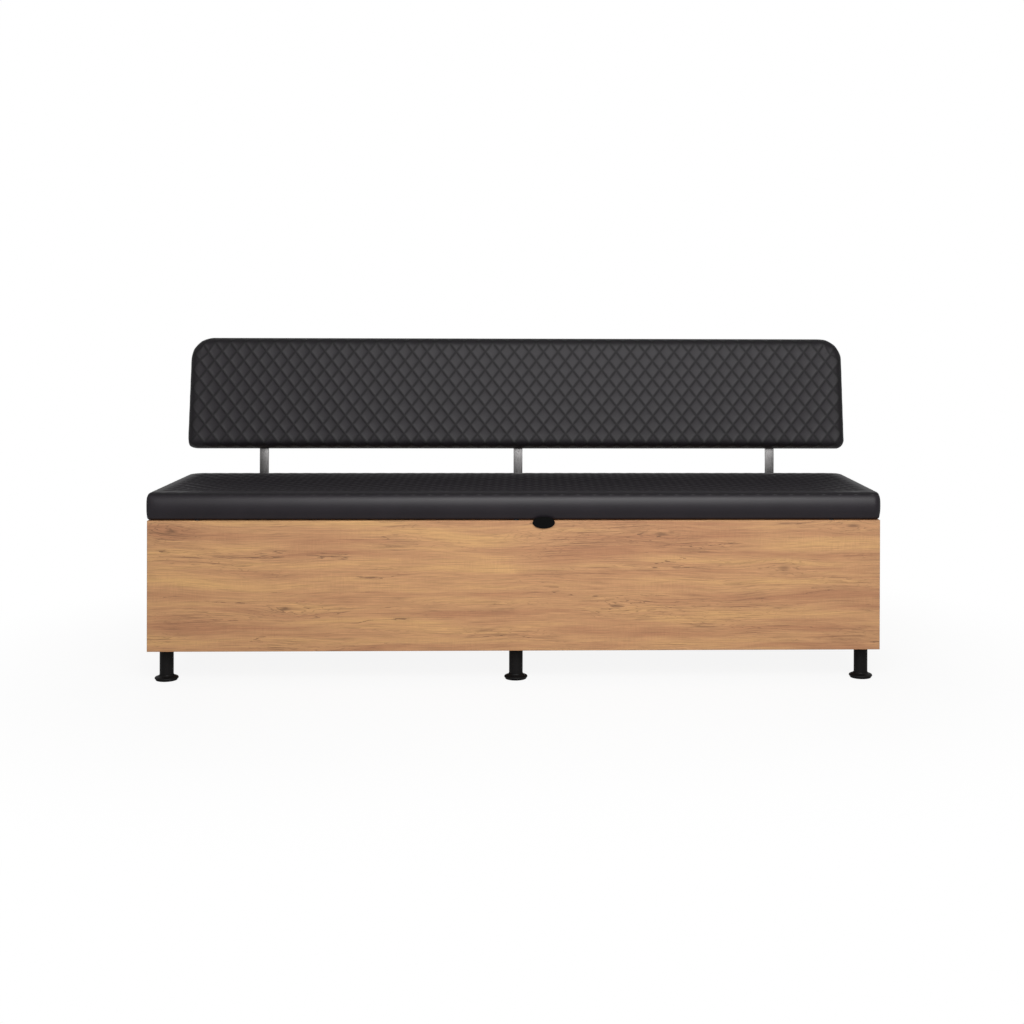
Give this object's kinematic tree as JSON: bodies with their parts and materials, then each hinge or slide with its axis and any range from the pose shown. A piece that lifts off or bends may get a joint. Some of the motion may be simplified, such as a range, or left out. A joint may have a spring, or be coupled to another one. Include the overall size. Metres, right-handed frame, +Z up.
{
  "type": "waiting room storage bench",
  "caption": "Waiting room bench with a quilted leatherette seat that lifts off an oak storage box, and a quilted backrest on flat steel bars.",
  "frame": {"origin": "on the floor under the middle of the bench's outer box", "axes": "+X runs along the bench to the sitter's left, which is the right of the picture; +Y runs from front to back; +Z is up"},
  "size_m": [1.832, 0.5884, 0.8397],
  "materials": {
    "oak_board": "satin",
    "leatherette": "satin",
    "foam": "matte",
    "plywood": "matte",
    "black_steel": "satin",
    "satin_steel": "satin",
    "zinc_steel": "satin",
    "black_plastic": "satin",
    "bumper_rubber": "matte"
  },
  "bodies": {
    "bench": {"backrest_board": "plywood", "backrest_bolts": "zinc_steel", "backrest_cover": "leatherette", "backrest_foam": "foam", "backrest_tee_nuts": "zinc_steel", "bar_bolts": "zinc_steel", "bar_nuts": "zinc_steel", "base_panel": "oak_board", "box_screws": "zinc_steel", "corner_brackets": "zinc_steel", "front_left_leg_post": "black_steel", "front_middle_leg_post": "black_steel", "front_panel": "oak_board", "front_right_leg_post": "black_steel", "hinge_pins": "zinc_steel", "left_back_bar": "satin_steel", "left_hinge_rail_leaf": "zinc_steel", "left_side_panel": "oak_board", "left_strut_wall_bracket": "zinc_steel", "lid_bumpers": "bumper_rubber", "middle_back_bar": "satin_steel", "middle_hinge_rail_leaf": "zinc_steel", "rear_left_leg_post": "black_steel", "rear_middle_leg_post": "black_steel", "rear_panel": "oak_board", "rear_panel_screws": "zinc_steel", "rear_right_leg_post": "black_steel", "rear_top_rail": "oak_board", "right_back_bar": "satin_steel", "right_hinge_rail_leaf": "zinc_steel", "right_side_panel": "oak_board", "right_strut_wall_bracket": "zinc_steel"},
    "lid": {"seat_cover": "leatherette", "seat_foam": "foam", "lid_board": "plywood", "pull_tab": "black_plastic", "hinge_lid_screws": "zinc_steel", "lid_screws": "zinc_steel", "left_hinge_lid_leaf": "zinc_steel", "middle_hinge_lid_leaf": "zinc_steel", "right_hinge_lid_leaf": "zinc_steel", "left_strut_hanger": "zinc_steel", "right_strut_hanger": "zinc_steel"},
    "left_cylinder": {"left_strut_cylinder": "black_steel"},
    "left_rod": {"left_strut_rod": "satin_steel"},
    "right_cylinder": {"right_strut_cylinder": "black_steel"},
    "right_rod": {"right_strut_rod": "satin_steel"},
    "front_left_pad": {"front_left_glide_pad": "black_plastic"},
    "front_left_level": {"front_left_foot": "black_steel"},
    "front_middle_pad": {"front_middle_glide_pad": "black_plastic"},
    "front_middle_level": {"front_middle_foot": "black_steel"},
    "front_right_pad": {"front_right_glide_pad": "black_plastic"},
    "front_right_level": {"front_right_foot": "black_steel"},
    "rear_left_pad": {"rear_left_glide_pad": "black_plastic"},
    "rear_left_level": {"rear_left_foot": "black_steel"},
    "rear_middle_pad": {"rear_middle_glide_pad": "black_plastic"},
    "rear_middle_level": {"rear_middle_foot": "black_steel"},
    "rear_right_pad": {"rear_right_glide_pad": "black_plastic"},
    "rear_right_level": {"rear_right_foot": "black_steel"}
  },
  "joints": [
    {"name": "lid_hinge", "type": "hinge", "parent": "bench", "child": "lid", "pos_m": [0, 0.1995, 0.4045], "axis": [-1, 0, 0], "range_deg": [0, 60]},
    {"name": "left_strut_swing", "type": "hinge", "parent": "bench", "child": "left_cylinder", "pos_m": [-0.868, 0.1845, 0.3705], "axis": [-1, 0, 0], "range_deg": [0, 58.4]},
    {"name": "left_strut_stroke", "type": "slide", "parent": "left_cylinder", "child": "left_rod", "axis": [0, -0.9983, 0.0587], "range_m": [0, 0.0369]},
    {"name": "right_strut_swing", "type": "hinge", "parent": "bench", "child": "right_cylinder", "pos_m": [0.868, 0.1845, 0.3705], "axis": [-1, 0, 0], "range_deg": [0, 58.4]},
    {"name": "right_strut_stroke", "type": "slide", "parent": "right_cylinder", "child": "right_rod", "axis": [0, -0.9983, 0.0587], "range_m": [0, 0.0369]},
    {"name": "front_left_foot_travel", "type": "slide", "parent": "bench", "child": "front_left_pad", "axis": [0, 0, -1], "range_m": [0, 0.012]},
    {"name": "front_left_foot_turn", "type": "hinge", "parent": "front_left_pad", "child": "front_left_level", "pos_m": [-0.864, -0.232, 0.02], "axis": [0, 0, -1], "range_deg": [0, 2880]},
    {"name": "front_middle_foot_travel", "type": "slide", "parent": "bench", "child": "front_middle_pad", "axis": [0, 0, -1], "range_m": [0, 0.012]},
    {"name": "front_middle_foot_turn", "type": "hinge", "parent": "front_middle_pad", "child": "front_middle_level", "pos_m": [0, -0.232, 0.02], "axis": [0, 0, -1], "range_deg": [0, 2880]},
    {"name": "front_right_foot_travel", "type": "slide", "parent": "bench", "child": "front_right_pad", "axis": [0, 0, -1], "range_m": [0, 0.012]},
    {"name": "front_right_foot_turn", "type": "hinge", "parent": "front_right_pad", "child": "front_right_level", "pos_m": [0.864, -0.232, 0.02], "axis": [0, 0, -1], "range_deg": [0, 2880]},
    {"name": "rear_left_foot_travel", "type": "slide", "parent": "bench", "child": "rear_left_pad", "axis": [0, 0, -1], "range_m": [0, 0.012]},
    {"name": "rear_left_foot_turn", "type": "hinge", "parent": "rear_left_pad", "child": "rear_left_level", "pos_m": [-0.864, 0.207, 0.02], "axis": [0, 0, -1], "range_deg": [0, 2880]},
    {"name": "rear_middle_foot_travel", "type": "slide", "parent": "bench", "child": "rear_middle_pad", "axis": [0, 0, -1], "range_m": [0, 0.012]},
    {"name": "rear_middle_foot_turn", "type": "hinge", "parent": "rear_middle_pad", "child": "rear_middle_level", "pos_m": [0, 0.207, 0.02], "axis": [0, 0, -1], "range_deg": [0, 2880]},
    {"name": "rear_right_foot_travel", "type": "slide", "parent": "bench", "child": "rear_right_pad", "axis": [0, 0, -1], "range_m": [0, 0.012]},
    {"name": "rear_right_foot_turn", "type": "hinge", "parent": "rear_right_pad", "child": "rear_right_level", "pos_m": [0.864, 0.207, 0.02], "axis": [0, 0, -1], "range_deg": [0, 2880]}
  ],
  "couplings": [
    {"joint": "left_strut_swing", "follows": "lid_hinge", "ratio": 0.97153},
    {"joint": "left_strut_stroke", "follows": "lid_hinge", "m_per_rad": 0.035082},
    {"joint": "right_strut_swing", "follows": "lid_hinge", "ratio": 0.97153},
    {"joint": "right_strut_stroke", "follows": "lid_hinge", "m_per_rad": 0.035082},
    {"joint": "front_left_foot_travel", "follows": "front_left_foot_turn", "m_per_rad": 0.00023873},
    {"joint": "front_middle_foot_travel", "follows": "front_middle_foot_turn", "m_per_rad": 0.00023873},
    {"joint": "front_right_foot_travel", "follows": "front_right_foot_turn", "m_per_rad": 0.00023873},
    {"joint": "rear_left_foot_travel", "follows": "rear_left_foot_turn", "m_per_rad": 0.00023873},
    {"joint": "rear_middle_foot_travel", "follows": "rear_middle_foot_turn", "m_per_rad": 0.00023873},
    {"joint": "rear_right_foot_travel", "follows": "rear_right_foot_turn", "m_per_rad": 0.00023873}
  ]
}
